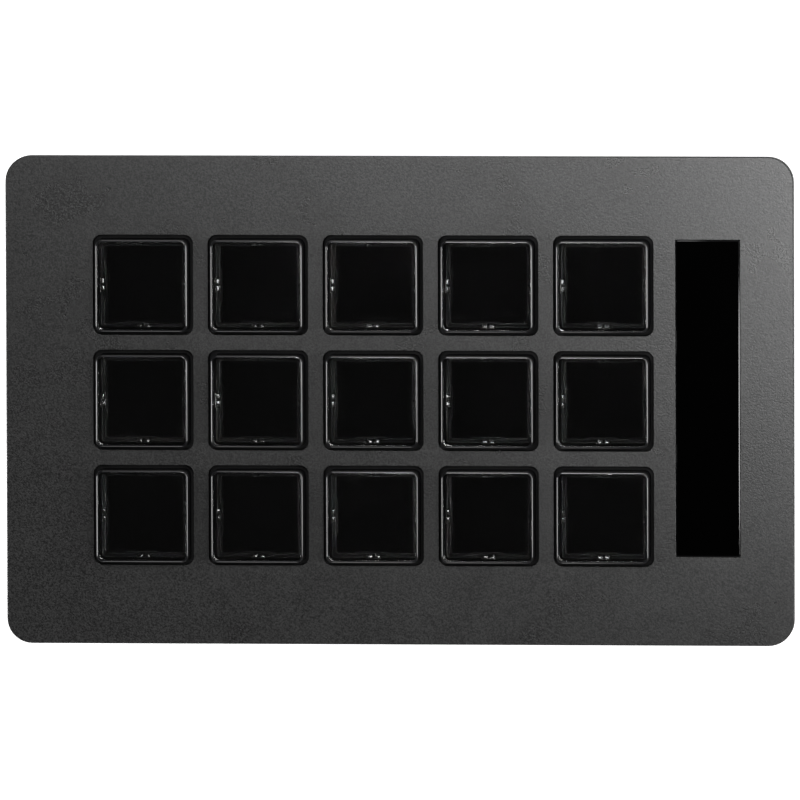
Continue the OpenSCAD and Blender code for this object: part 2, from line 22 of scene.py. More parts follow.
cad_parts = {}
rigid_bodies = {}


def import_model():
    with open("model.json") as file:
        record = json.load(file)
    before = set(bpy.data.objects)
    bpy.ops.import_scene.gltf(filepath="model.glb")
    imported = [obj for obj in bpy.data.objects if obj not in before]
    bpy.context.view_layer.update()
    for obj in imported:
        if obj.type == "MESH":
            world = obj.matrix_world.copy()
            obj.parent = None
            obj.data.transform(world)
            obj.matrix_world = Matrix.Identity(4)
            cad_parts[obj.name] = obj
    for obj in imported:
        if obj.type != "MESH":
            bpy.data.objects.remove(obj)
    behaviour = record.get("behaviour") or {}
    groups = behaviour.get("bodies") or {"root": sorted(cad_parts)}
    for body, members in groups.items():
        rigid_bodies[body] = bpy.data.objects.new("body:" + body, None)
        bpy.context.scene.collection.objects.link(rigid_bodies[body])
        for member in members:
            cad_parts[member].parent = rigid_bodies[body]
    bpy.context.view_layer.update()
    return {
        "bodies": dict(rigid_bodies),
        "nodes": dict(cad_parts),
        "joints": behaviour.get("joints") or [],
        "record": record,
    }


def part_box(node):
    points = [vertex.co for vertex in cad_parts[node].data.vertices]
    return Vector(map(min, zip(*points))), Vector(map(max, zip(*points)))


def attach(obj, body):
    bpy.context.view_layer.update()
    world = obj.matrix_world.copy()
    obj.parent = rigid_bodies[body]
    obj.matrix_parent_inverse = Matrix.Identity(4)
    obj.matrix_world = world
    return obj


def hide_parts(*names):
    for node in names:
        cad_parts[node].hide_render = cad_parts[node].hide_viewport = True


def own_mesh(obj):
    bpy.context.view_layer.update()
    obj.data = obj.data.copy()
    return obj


MM = 0.001
LOG = logging.getLogger("controller")
Loop = list[BMVert]
Triple = tuple[float, float, float]

# Centre of the display strip and of its slot, in millimetres
STRIP_CENTRE = Vector((50.9, 0.5, 0))
# Points closer than this in metres are one, and no corner is rounded less than this in millimetres
WELD_M = 1e-7
LEAST_RADIUS_MM = 0.02
# Upward part of a face's normal: of a level face, of a plate's top, and of a bevel or a rounded edge
LEVEL = 0.99999
TOP = 0.8
SLOPE = (0.1, 0.95)
# Width of the clouds of gloss, length of a brushed line by its width, and two limits of roughness
CLOUD_MM = 14.0
BRUSHED_RATIO = 40
LEAST_ROUGHNESS = 0.01
COAT_ROUGHNESS = 0.08


# Nodes and colours


def linear(code: str) -> list[float]:
    """Turns an sRGB hex colour into a linear one.

    Args:
        code: Six hex digits after a hash sign.

    Returns:
        Linear red, green and blue.
    """
    parts = [int(code[i : i + 2], 16) / 255 for i in (1, 3, 5)]
    return [c / 12.92 if c <= 0.04045 else ((c + 0.055) / 1.055) ** 2.4 for c in parts]


def feed(node: Node, inputs: dict[str | int, Any]) -> None:
    """Gives a node its values and its links.

    Args:
        node: The node.
        inputs: Value, output or node, which stands for its first output, by the input's name or place.
    """
    for key, value in inputs.items():
        socket = node.inputs[key]
        value = value.outputs[0] if isinstance(value, Node) else value
        if isinstance(value, NodeSocket):
            node.id_data.links.new(value, socket)
        else:
            socket.default_value = value


def add_node(tree: NodeTree, kind: str, inputs: dict[str | int, Any] | None = None, **settings: Any) -> Node:
    """Adds a node to a tree, with its settings, its values and its links.

    Args:
        tree: Shader or geometry tree that takes the node.
        kind: Blender's name of the node's type.
        inputs: What feed gives the node.
        settings: Attributes of the node.

    Returns:
        The node.
    """
    node = tree.nodes.new(kind)
    for name, value in settings.items():
        setattr(node, name, value)
    feed(node, inputs or {})
    return node


# Finishes


class Pattern(Enum):
    """How the grain of a finish lies."""

    EVEN = "the same every way, as from a mould"
    BRUSHED = "in lines along X, as from rolls or a brush"


@dataclass(frozen=True)
class Finish:
    """A material with a fine relief and slight changes of shade and gloss.

    Args:
        name: Common name of the material and how it was made.
        slot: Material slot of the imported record.
        colour: sRGB hex colour.
        roughness: Roughness of the surface.
        grain_mm: Size of the relief's grain, coarser than the real one where that is too fine to show.
        relief_mm: Depth of the relief.
        mottle: Share by which the colour changes from grain to grain.
        gloss_spread: Spread of the roughness round its value.
        pattern: How the grain lies.
        metallic: 1 for bare metal.
        ior: Index of refraction.
        specular: Level of the dielectric reflection, 0.5 for plain.
        clearness: Share of the light that goes through.
        coat: Weight of a clear coat.
        contrast: How sharply the lighter grains stand out from the darker ones, 1 for softly.
    """

    name: str
    slot: str
    colour: str
    roughness: float
    grain_mm: float = 0.3
    relief_mm: float = 0.01
    mottle: float = 0.1
    gloss_spread: float = 0.04
    pattern: Pattern = Pattern.EVEN
    metallic: float = 0.0
    ior: float = 1.5
    specular: float = 0.5
    clearness: float = 0.0
    coat: float = 0.0
    contrast: float = 1.0

    def build(self) -> Material:
        """Makes the material, or returns the one made before.

        Returns:
            The node material.
        """
        made = bpy.data.materials.get(self.name)
        if made:
            return made
        material = bpy.data.materials.new(self.name)
        material.use_nodes = True
        tree = material.node_tree
        grain = self.grain(tree)
        half = 0.5 / self.contrast
        reach = {"Value": grain, "From Min": 0.5 - half, "From Max": 0.5 + half}
        spots = add_node(tree, "ShaderNodeMapRange", reach)
        shares = {0: spots, 6: self.shade(-self.mottle), 7: self.shade(self.mottle)}
        tint = add_node(tree, "ShaderNodeMix", shares, data_type="RGBA")
        size = {"Vector": self.place(tree), "Scale": 1 / (CLOUD_MM * MM), "Detail": 3.0, "Roughness": 0.6}
        cloud = add_node(tree, "ShaderNodeTexNoise", size)
        spread = {"Value": cloud, "From Min": 0.3, "From Max": 0.7}
        spread["To Min"] = max(self.roughness - self.gloss_spread, LEAST_ROUGHNESS)
        spread["To Max"] = self.roughness + self.gloss_spread
        gloss = add_node(tree, "ShaderNodeMapRange", spread)
        relief = {"Height": grain, "Distance": self.relief_mm * MM, "Strength": 1.0}
        bump = add_node(tree, "ShaderNodeBump", relief)
        surface = {
            "Base Color": tint.outputs[2],
            "Roughness": gloss,
            "Normal": bump,
            "Metallic": self.metallic,
            "IOR": self.ior,
            "Specular IOR Level": self.specular,
            "Transmission Weight": self.clearness,
            "Coat Weight": self.coat,
            "Coat Roughness": COAT_ROUGHNESS,
        }
        feed(tree.nodes["Principled BSDF"], surface)
        return material

    def place(self, tree: NodeTree) -> NodeSocket:
        """Returns the Object coordinates as a socket."""
        return add_node(tree, "ShaderNodeTexCoord").outputs["Object"]

    def grain(self, tree: NodeTree) -> Node:
        """Adds the fine pattern of the finish.

        Args:
            tree: The material's tree.

        Returns:
            A node that gives the pattern, from 0 to 1.
        """
        place = self.place(tree)
        if self.pattern is Pattern.BRUSHED:
            longer = {"Vector": place, "Scale": (1 / BRUSHED_RATIO, 1.0, 1.0)}
            place = add_node(tree, "ShaderNodeMapping", longer)
        size = {"Vector": place, "Scale": 1 / (self.grain_mm * MM), "Detail": 2.0, "Roughness": 0.55}
        return add_node(tree, "ShaderNodeTexNoise", size)

    def shade(self, share: float) -> tuple[float, ...]:
        """Returns the colour with an alpha of 1, lighter by a share of itself or darker by a negative one."""
        return (*(min(part * (1 + share), 1.0) for part in linear(self.colour)), 1.0)


# Dark ABS from a spark-eroded mould: a dull grey skin, even and finely speckled
FACEPLATE_ABS = Finish(
    "Spark_Eroded_Grey_ABS", "faceplate", "#191919", 0.285, 0.26, 0.016, 1.0, 0.02, contrast=3.7
)
# The same resin on the plate's rim and in its wells, where the mould opens along the wall: duller still
PLATE_EDGE = Finish("Dull_Grey_ABS", "faceplate", "#191919", 0.7, 0.26, 0.01, 0.3, 0.03, specular=0.25)
# Black ABS from a polished mould: near black, with sharp lights on every rounded edge
KEY_ABS = Finish("Polished_Black_ABS", "key_black", "#0E0E10", 0.12, 0.6, 0.0005, 0.1, 0.02)
# The same resin on the edges of the steps under the lens, where the mould is mirror bright: hair lines
STEP_ABS = Finish("Mirror_Polished_Black_ABS", "key_black", "#0A0A0B", 0.04, 0.6, 0.0002, 0.1, 0.01)
# The sleeve of the same frame below its rim: left dull by the mould, and a darker black than the rim as
# painted shade of its well, so that it vanishes there
SHADE_DARKENED_SLEEVE_ABS = Finish("Dull_Black_ABS", "key_black", "#09090A", 0.62, 0.3, 0.01, 0.15, 0.04, specular=0.15)
# Clear acrylic, injection moulded and polished: its edges catch the light and its body vanishes
LENS_ACRYLIC = Finish(
    "Clear_Acrylic", "key_clear", "#FAFBFB", 0.02, 6.0, 0.00005, 0.01, 0.01,
    ior=1.49, specular=0.06, clearness=1.0,
)
# The lens's snap pegs: their sloped heads glint where they face the light. Their acrylic is tinted grey,
# darker than the lens, as painted shade, so that they stay dark where they don't glint
PEG_ACRYLIC = Finish(
    "Acrylic_Snap_Pegs", "key_clear", "#6E7072", 0.18, 0.3, 0.001, 0.02, 0.03,
    ior=1.49, specular=1.0, clearness=1.0, coat=1.0,
)
# Glass printed black behind: the deepest black on the part, with a faint reflection
STRIP_GLASS = Finish(
    "Back_Printed_Glass", "black_glass", "#010101", 0.08, 3.0, 0.0001, 0.05, 0.01, specular=0.04
)
# The ground and polished bevel round the same glass: a hair line of light on the side that faces a lamp
GROUND_EDGE = Finish(
    "Ground_Glass_Edge", "black_glass", "#060607", 0.1, 0.5, 0.0005, 0.1, 0.03, specular=0.42
)
# Grey silicone sheet: soft sheen, a little dust in its skin
MAT_SILICONE = Finish("Moulded_Grey_Silicone", "silicone", "#333335", 0.6, 0.5, 0.01, 0.1, 0.05)
# Black-oxide screws: dark metal with an oily sheen
BLACK_SCREW = Finish(
    "Black_Oxide_Steel", "black_screw", "#2B2B2E", 0.38, 0.15, 0.003, 0.15, 0.06, metallic=1.0
)
# Hard gold over nickel on the contacts of the socket: warm and bright
CONTACT_GOLD = Finish(
    "Gold_Plated_Contacts", "socket_metal", "#D8A846", 0.22, 0.08, 0.0005, 0.04, 0.04, metallic=1.0
)
# Rubber of the feet: black, dull, a little dusty
FOOT_RUBBER = Finish("Black_Foot_Rubber", "foot_rubber", "#141414", 0.75, 0.2, 0.02, 0.2, 0.05)

# The finish of each slot
FINISHES: tuple[Finish, ...] = (
    FACEPLATE_ABS, KEY_ABS, LENS_ACRYLIC, STRIP_GLASS, MAT_SILICONE, BLACK_SCREW, FOOT_RUBBER,
    # Textured black ABS of the shell: dull, with a coarser texture that hides scratches
    Finish("Textured_Black_ABS", "shell", "#151516", 0.5, 0.4, 0.02, 0.12, 0.04, specular=0.3),
    # Black nylon guide, seen only through the gaps round the keys
    Finish("Moulded_Black_Nylon", "inner_plastic", "#1A1A1C", 0.5, 0.5, 0.01),
    # Closed-cell foam tape: dull, with open pores at its cut edges
    Finish("Closed_Cell_Foam", "foam", "#161616", 0.9, 0.25, 0.05, 0.3),
    # Epoxy glass board under green solder mask: glossy, with the weave faintly showing
    Finish("Green_Solder_Mask", "board", "#0E4A24", 0.32, 0.5, 0.006, 0.12),
    # The same under black mask, so that no colour shows through the keys
    Finish("Black_Solder_Mask", "black_board", "#0B0B0C", 0.4, 0.5, 0.006, 0.12, specular=0.3),
    # Display panel that is off: black behind polished glass
    Finish("Display_Glass_Off", "display_glass", "#020202", 0.08, 2.0, 0.0001, 0.3, 0.02, specular=0.05),
    # Acrylic light guide with its white reflector: milky and bright
    Finish("Milky_Light_Guide", "backlight", "#E6E9EC", 0.25, 1.0, 0.001, 0.03, 0.03),
    # Zinc-plated sheet: bright grey with long rolling lines
    Finish(
        "Zinc_Plated_Sheet_Steel", "sheet_steel", "#B4B7BB", 0.36, 0.12, 0.002, 0.08, 0.06, Pattern.BRUSHED,
        metallic=1.0,
    ),
    # Nickel-plated screws: bright, slightly warm
    Finish("Nickel_Plated_Steel", "plated_screw", "#CBCAC4", 0.24, 0.2, 0.002, 0.05, 0.05, metallic=1.0),
    # Polyimide film with copper beneath: amber and smooth
    Finish("Amber_Polyimide_Film", "film", "#A9671F", 0.28, 0.8, 0.001, 0.08, 0.04),
    # Moulded epoxy packages: dull black with a fine blast texture
    Finish("Moulded_Chip_Epoxy", "chip", "#202022", 0.55, 0.1, 0.004),
    # Heat-proof nylon of the ribbon sockets: ivory
    Finish("Ivory_Nylon", "socket_plastic", "#D8D2C2", 0.45, 0.3, 0.004, 0.04),
    # Drawn and nickel-plated shell of the socket: bright, with fine lines along it
    Finish(
        "Drawn_Nickel_Plated_Steel", "socket_metal", "#C2C4C8", 0.22, 0.1, 0.001, 0.05, 0.05, Pattern.BRUSHED,
        metallic=1.0,
    ),
)


# Shapes


@dataclass(frozen=True)
class Ring:
    """One level of a lofted shape: a rectangle with round corners, in millimetres.

    Args:
        half_x: Half its width.
        half_y: Half its depth.
        radius: Radius of its corners.
        z: Its height.
    """

    half_x: float
    half_y: float
    radius: float
    z: float

    def grown(self, reach: float, z: float) -> Ring:
        """Returns the ring moved outwards by a distance, at another height.

        Args:
            reach: Distance outwards, negative for inwards.
            z: The new height.

        Returns:
            The new ring, its corners concentric with this one's.
        """
        return Ring(self.half_x + reach, self.half_y + reach, max(self.radius + reach, LEAST_RADIUS_MM), z)

    def points(self, centre: Vector, corner_steps: int, side_steps: int) -> list[Vector]:
        """Lays out the ring's points, anticlockwise from the right side's front end.

        Args:
            centre: Centre of the ring in millimetres.
            corner_steps: Number of segments of each corner.
            side_steps: Number of segments of each side.

        Returns:
            The points in metres.
        """
        inner_x, inner_y = self.half_x - self.radius, self.half_y - self.radius
        corners = ((inner_x, inner_y), (-inner_x, inner_y), (-inner_x, -inner_y), (inner_x, -inner_y))
        flat: list[Vector] = []
        for k, (x, y) in enumerate(corners):
            arc = [
                Vector((x + self.radius * math.cos(a), y + self.radius * math.sin(a)))
                for a in (math.pi / 2 * (k + i / corner_steps) for i in range(corner_steps + 1))
            ]
            if flat:
                start = flat[-1]
                flat += [start.lerp(arc[0], i / side_steps) for i in range(1, side_steps)]
            flat += arc
        flat += [flat[-1].lerp(flat[0], i / side_steps) for i in range(1, side_steps)]
        return [Vector((p.x + centre.x, p.y + centre.y, self.z + centre.z)) * MM for p in flat]


def pairs(loop: Sequence[Any]) -> list[tuple[Any, Any]]:
    """Returns each item of a closed loop with the next one."""
    return list(zip(loop, (*loop[1:], loop[0])))


def fillet(ring: Ring, reach: float, steps: int = 4, outer: bool = True, rising: bool = True) -> list[Ring]:
    """Rounds the edge between a wall and the level face above it.

    Args:
        ring: The wall's outline, at the height of the level face.
        reach: Radius of the rounding.
        steps: Number of segments.
        outer: True for the outside of a block, False for the mouth of a hole.
        rising: True to list the rings from the wall to the face, else from the face to the wall.

    Returns:
        The rings of the rounding.
    """
    rings = []
    for i in range(steps + 1):
        turn = math.pi / 2 * i / steps
        inset = reach * (1 - math.cos(turn))
        rings.append(ring.grown(-inset if outer else inset, ring.z - reach + reach * math.sin(turn)))
    return rings if rising else rings[::-1]


def lower_fillet(ring: Ring, reach: float, steps: int) -> list[Ring]:
    """Rounds the outer edge between a level face and the wall above it.

    Args:
        ring: The wall's outline, at the height of the level face.
        reach: Radius of the rounding.
        steps: Number of segments.

    Returns:
        The rings of the rounding, from the face to the wall.
    """
    turns = [math.pi / 2 * i / steps for i in range(steps + 1)]
    return [ring.grown(-reach * (1 - math.sin(a)), ring.z + reach * (1 - math.cos(a))) for a in turns]


@dataclass
class Shaper:
    """Builds one mesh from lofts.

    Args:
        corner_steps: Number of segments of each corner.
        side_steps: Number of segments of each side.
        bm: The work so far.
    """

    corner_steps: int = 8
    side_steps: int = 1
    bm: BMesh = field(default_factory=bmesh.new)

    def loft(
        self,
        rings: Sequence[Ring],
        centre: Vector = Vector(),
        looped: bool = False,
        caps: tuple[bool, bool] = (True, True),
    ) -> list[Loop]:
        """Joins rings by faces.

        Args:
            rings: The rings, in order.
            centre: Centre of the rings in millimetres.
            looped: True to join the last ring to the first.
            caps: Whether the first and the last ring are closed, unless looped.

        Returns:
            The points of each ring.
        """
        levels = [ring.points(centre, self.corner_steps, self.side_steps) for ring in rings]
        loops = [[self.bm.verts.new(point) for point in level] for level in levels]
        steps = pairs(loops) if looped else zip(loops, loops[1:])
        for low, high in steps:
            self.bridge(low, high)
        if not looped:
            for wanted, loop in zip(caps, (loops[0], loops[-1])):
                if wanted:
                    self.bm.faces.new(loop)
        return loops

    def bridge(self, low: Loop, high: Loop) -> None:
        """Joins two loops of as many points by four-sided faces."""
        for (a, b), (d, c) in zip(pairs(low), pairs(high)):
            self.bm.faces.new((a, b, c, d))

    def plate(self, walls: Sequence[tuple[Sequence[Ring], Vector]]) -> None:
        """Builds a plate with holes.

        Args:
            walls: The rings of its outline and of each hole, from the bottom up, with their centres.
        """
        lofts = [self.loft(rings, centre, caps=(False, False)) for rings, centre in walls]
        for end, way in ((-1, 1), (0, -1)):
            edges = [self.bm.edges.get(pair) for loops in lofts for pair in pairs(loops[end])]
            bmesh.ops.triangle_fill(self.bm, use_beauty=True, edges=edges, normal=(0, 0, way))

    def mesh(self) -> Mesh:
        """Closes the work and turns it into a mesh.

        Returns:
            The mesh, with its faces outwards.
        """
        bmesh.ops.remove_doubles(self.bm, verts=self.bm.verts, dist=WELD_M)
        bmesh.ops.recalc_face_normals(self.bm, faces=self.bm.faces)
        mesh = bpy.data.meshes.new("shape")
        self.bm.to_mesh(mesh)
        self.bm.free()
        return mesh


def crossed_blocks(reach: float, width: float, ends: tuple[float, float]) -> list[Mesh]:
    """Builds two blocks that cross at the middle, used as cutters.

    Args:
        reach: Half the length of each block in millimetres.
        width: Half its width.
        ends: Its lower and its upper end along Z.

    Returns:
        Their meshes, the one that lies along X first.
    """
    meshes = []
    for half_x, half_y in ((reach, width), (width, reach)):
        bm = bmesh.new()
        bmesh.ops.create_cube(bm, size=2)
        for vert in bm.verts:
            z = ends[0 if vert.co.z < 0 else 1]
            vert.co = (vert.co.x * half_x * MM, vert.co.y * half_y * MM, z * MM)
        mesh = bpy.data.meshes.new("block")
        bm.to_mesh(mesh)
        bm.free()
        meshes.append(mesh)
    return meshes


def linked(name: str, data: ID) -> Object:
    """Makes an object of a mesh, a lamp or a camera and links it to the scene."""
    thing = bpy.data.objects.new(name, data)
    bpy.context.scene.collection.objects.link(thing)
    return thing


def combined(base: Mesh, others: Sequence[Mesh], operation: str = "DIFFERENCE") -> Mesh:
    """Cuts meshes out of a mesh, or adds them to it.

    Args:
        base: The mesh, which is used up.
        others: The cutters or additions, which are used up.
        operation: DIFFERENCE or UNION.

    Returns:
        The new mesh.
    """
    holder = linked("holder", base)
    helpers = [linked("helper", other) for other in others]
    for helper in helpers:
        modifier = holder.modifiers.new("Combine", "BOOLEAN")
        modifier.operation = operation
        modifier.solver = "EXACT"
        modifier.object = helper
    mesh = settled(holder)
    for helper in helpers:
        bpy.data.objects.remove(helper)
    return mesh


def dressed(
    mesh: Mesh,
    finishes: Sequence[Finish],
    sharp: float = 32.0,
    choose: Callable[[BMFace], int] = lambda face: 0,
) -> Mesh:
    """Gives a mesh its finishes, sharp edges by angle, and level faces that stay level in the shading.

    Args:
        mesh: The mesh, which is changed.
        finishes: Its finishes.
        sharp: Angle in degrees from which an edge is sharp.
        choose: Gives the place of a face's finish in the list.

    Returns:
        The same mesh.
    """
    mesh.materials.clear()
    for finish in finishes:
        mesh.materials.append(finish.build())
    bm = bmesh.new()
    bm.from_mesh(mesh)
    bmesh.ops.remove_doubles(bm, verts=bm.verts, dist=WELD_M)
    for face in bm.faces:
        face.smooth = True
        face.material_index = choose(face)
    for edge in bm.edges:
        edge.smooth = len(edge.link_faces) == 2 and edge.calc_face_angle() < math.radians(sharp)
    bm.to_mesh(mesh)
    bm.free()
    level_normals(mesh, sharp)
    return mesh


def level_normals(mesh: Mesh, sharp: float) -> None:
    """Makes the shading of level faces plain, and that of the roundings beside them end level.

    Args:
        mesh: The mesh, with its own corner normals.
        sharp: Angle in degrees up to which a face beside a level face shares its normal.
    """
    level: dict[int, Vector] = {}
    for face in mesh.polygons:
        if abs(face.normal.z) > LEVEL:
            way = Vector((0, 0, math.copysign(1, face.normal.z)))
            level.update({index: way for index in face.vertices})
    normals = [Vector(corner.vector) for corner in mesh.corner_normals]
    for face in mesh.polygons:
        for corner in face.loop_indices:
            way = level.get(mesh.loops[corner].vertex_index)
            if way and face.normal.angle(way) < math.radians(sharp):
                normals[corner] = way
    mesh.normals_split_custom_set(normals)


def joined(meshes: Sequence[Mesh]) -> Mesh:
    """Joins meshes into one that keeps their finishes and their shading.

    Args:
        meshes: The meshes, which are used up.

    Returns:
        The new mesh.
    """
    pieces = [linked("part", mesh) for mesh in meshes]
    first = pieces[0]
    with bpy.context.temp_override(active_object=first, selected_editable_objects=pieces, object=first):
        bpy.ops.object.join()
    mesh = first.data
    bpy.data.objects.remove(first)
    return mesh


def settled(holder: Object) -> Mesh:
    """Applies every modifier of a helper object, which is used up.

    Args:
        holder: The object.

    Returns:
        The plain mesh.
    """
    bpy.context.view_layer.update()
    evaluated = holder.evaluated_get(bpy.context.evaluated_depsgraph_get())
    mesh = bpy.data.meshes.new_from_object(evaluated)
    holder.modifiers.clear()
    old = holder.data
    bpy.data.objects.remove(holder)
    bpy.data.meshes.remove(old)
    return mesh


@dataclass
class Growth:
    """A geometry tree that grows one mesh from named sizes.

    Args:
        name: Name of the mesh.
        lengths: Lengths in millimetres, by name.
        count: How many copies there are in a row or on a side, or how many sides have them.
        finish: Finish of what it grows.
    """

    name: str
    lengths: dict[str, float]
    count: int
    finish: Finish

    def __post_init__(self) -> None:
        """Starts the tree, with an input for a shape, each length, the count and the finish."""
        self.tree = bpy.data.node_groups.new(self.name, "GeometryNodeTree")
        self.tree.interface.new_socket("Geometry", in_out="OUTPUT", socket_type="NodeSocketGeometry")
        lengths = dict.fromkeys(self.lengths, "Float")
        kinds = {"Geometry": "Geometry", **lengths, "Count": "Int", "Finish": "Material"}
        for name, kind in kinds.items():
            self.tree.interface.new_socket(name, in_out="INPUT", socket_type=f"NodeSocket{kind}")
        self.given = add_node(self.tree, "NodeGroupInput").outputs

    def mesh(self, copies: Node, base: Mesh | None = None) -> Mesh:
        """Ends the tree with real copies in their finish, runs it and keeps its result.

        Args:
            copies: Node that holds the copies.
            base: Shape that the tree takes, which is used up.

        Returns:
            The plain mesh that the tree makes.
        """
        real = add_node(self.tree, "GeometryNodeRealizeInstances", {0: copies})
        painted = {"Geometry": real, "Material": self.given["Finish"]}
        done = add_node(self.tree, "GeometryNodeSetMaterial", painted)
        add_node(self.tree, "NodeGroupOutput", {0: done})
        values = {name: length * MM for name, length in self.lengths.items()}
        values |= {"Count": self.count, "Finish": self.finish.build()}
        holder = linked(self.name, base or bpy.data.meshes.new(self.name))
        modifier = holder.modifiers.new("Grow", "NODES")
        modifier.node_group = self.tree
        for item in self.tree.interface.items_tree:
            if item.item_type == "SOCKET" and item.in_out == "INPUT" and item.name in values:
                modifier[item.identifier] = values[item.name]
        return settled(holder)


def on_corners(name: str, base: Mesh, half_x: float, half_y: float, finish: Finish) -> Mesh:
    """Sets a shape at the four corners of a rectangle round the origin.

    Args:
        name: Name of the mesh.
        base: The shape, which is used up.
        half_x: Half the distance between the corners along X in millimetres.
        half_y: Half the distance along Y.
        finish: Finish of the shape.

    Returns:
        The mesh of the four copies.
    """
    growth = Growth(name, {"Size X": 2 * half_x, "Size Y": 2 * half_y}, 2, finish)
    given = growth.given
    plan = {"Size X": given["Size X"], "Size Y": given["Size Y"]}
    plan |= {"Vertices X": given["Count"], "Vertices Y": given["Count"]}
    corners = add_node(growth.tree, "GeometryNodeMeshGrid", plan)
    copies = {"Points": corners, "Instance": given["Geometry"]}
    spread = add_node(growth.tree, "GeometryNodeInstanceOnPoints", copies)
    return growth.mesh(spread, base)


def row_of_bars(name: str, size: Triple, pitch: float, count: int, centre: Vector, finish: Finish) -> Mesh:
    """Lays bars side by side along X.

    Args:
        name: Name of the mesh.
        size: Size of each bar in millimetres.
        pitch: Distance from bar to bar.
        count: Number of bars.
        centre: Centre of the row.
        finish: Finish of the bars.

    Returns:
        The mesh of the bars.
    """
    first = (centre.x - pitch * (count - 1) / 2, centre.y, centre.z)
    bar_names, start_names = ([f"{what} {axis}" for axis in "XYZ"] for what in ("Bar", "Start"))
    lengths = dict(zip((*bar_names, *start_names), (*size, *first))) | {"Pitch": pitch}
    growth = Growth(name, lengths, count, finish)
    tree, given = growth.tree, growth.given
    extent, start = (
        add_node(tree, "ShaderNodeCombineXYZ", {i: given[part] for i, part in enumerate(names)})
        for names in (bar_names, start_names)
    )
    bar = add_node(tree, "GeometryNodeMeshCube", {"Size": extent})
    step = add_node(tree, "ShaderNodeCombineXYZ", {0: given["Pitch"]})
    row = {"Count": given["Count"], "Start Location": start, "Offset": step}
    line = add_node(tree, "GeometryNodeMeshLine", row)
    copies = {"Points": line, "Instance": bar}
    bars = add_node(tree, "GeometryNodeInstanceOnPoints", copies)
    return growth.mesh(bars)


def moved_copy(source: Mesh, offset: Vector) -> Mesh:
    """Returns a copy of a mesh, moved by a distance in millimetres."""
    mesh = source.copy()
    mesh.transform(Matrix.Translation(offset * MM))
    return mesh


def seat(name: str, mesh: Mesh, body: str, finish: Finish, *nodes: str) -> Object:
    """Makes a piece of a mesh, sets it on its body and reports it.

    Args:
        name: Name of the piece.
        mesh: Its mesh, which holds its place.
        body: The body that it rides on.
        finish: Not used.
        nodes: The nodes that it replaces.

    Returns:
        The piece.
    """
    mesh.name = name
    piece = linked(name, mesh)
    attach(piece, body)
    if nodes:
        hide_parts(*nodes)
    LOG.info("%s: %d faces", name, len(mesh.polygons))
    return piece


def is_edge(face: BMFace) -> bool:
    """Says whether a face is part of a bevel or a rounded edge that looks up."""
    return SLOPE[0] < face.normal.z < SLOPE[1]


# Sub-assemblies


@dataclass
class KeyGrid:
    """Places of the keys in the plate."""

    rows: int = 3
    columns: int = 5
    pitch: float = 19.0
    centre_x: float = -4.3

    def places(self) -> dict[str, Vector]:
        """Returns each key's place by its row and column, rear row first."""
        places = {}
        for row in range(self.rows):
            y = ((self.rows - 1) / 2 - row) * self.pitch
            for column in range(self.columns):
                x = self.centre_x + (column - (self.columns - 1) / 2) * self.pitch
                places[f"{row + 1}{column + 1}"] = Vector((x, y, 0))
        return places


@dataclass
class Faceplate:
    """The moulded plate with its wells and the slot of the display strip."""

    half_x: float = 65.0
    half_y: float = 40.25
    corner_r: float = 4.2
    bottom_z: float = 19.8
    top_z: float = 22.0
    edge_r: float = 0.15
    lower_edge_r: float = 0.12
    well_half: float = 8.25
    well_r: float = 1.4
    mouth_r: float = 0.06
    slot_half_x: float = 5.35
    slot_half_y: float = 26.15
    slot_r: float = 0.1

    def build(self, grid: KeyGrid) -> None:
        """Builds the plate on the case.

        Args:
            grid: Places of the keys.
        """
        outline = Ring(self.half_x, self.half_y, self.corner_r, self.top_z)
        well = Ring(self.well_half, self.well_half, self.well_r, self.top_z)
        slot = Ring(self.slot_half_x, self.slot_half_y, self.slot_r, self.top_z)
        foot = lower_fillet(outline.grown(0, self.bottom_z), self.lower_edge_r, steps=2)
        walls = [([*foot, *fillet(outline, self.edge_r, steps=6)], Vector())]
        holes = [(well, place) for place in grid.places().values()]
        holes.append((slot, STRIP_CENTRE))
        for ring, place in holes:
            mouth = fillet(ring, self.mouth_r, outer=False)
            walls.append(([ring.grown(0, self.bottom_z), *mouth], place))
        shaper = Shaper(corner_steps=10)
        shaper.plate(walls)
        finishes = [FACEPLATE_ABS, PLATE_EDGE]
        mesh = dressed(shaper.mesh(), finishes, choose=lambda face: 0 if face.normal.z > TOP else 1)
        seat("faceplate", mesh, "case", FACEPLATE_ABS, "top_plate")


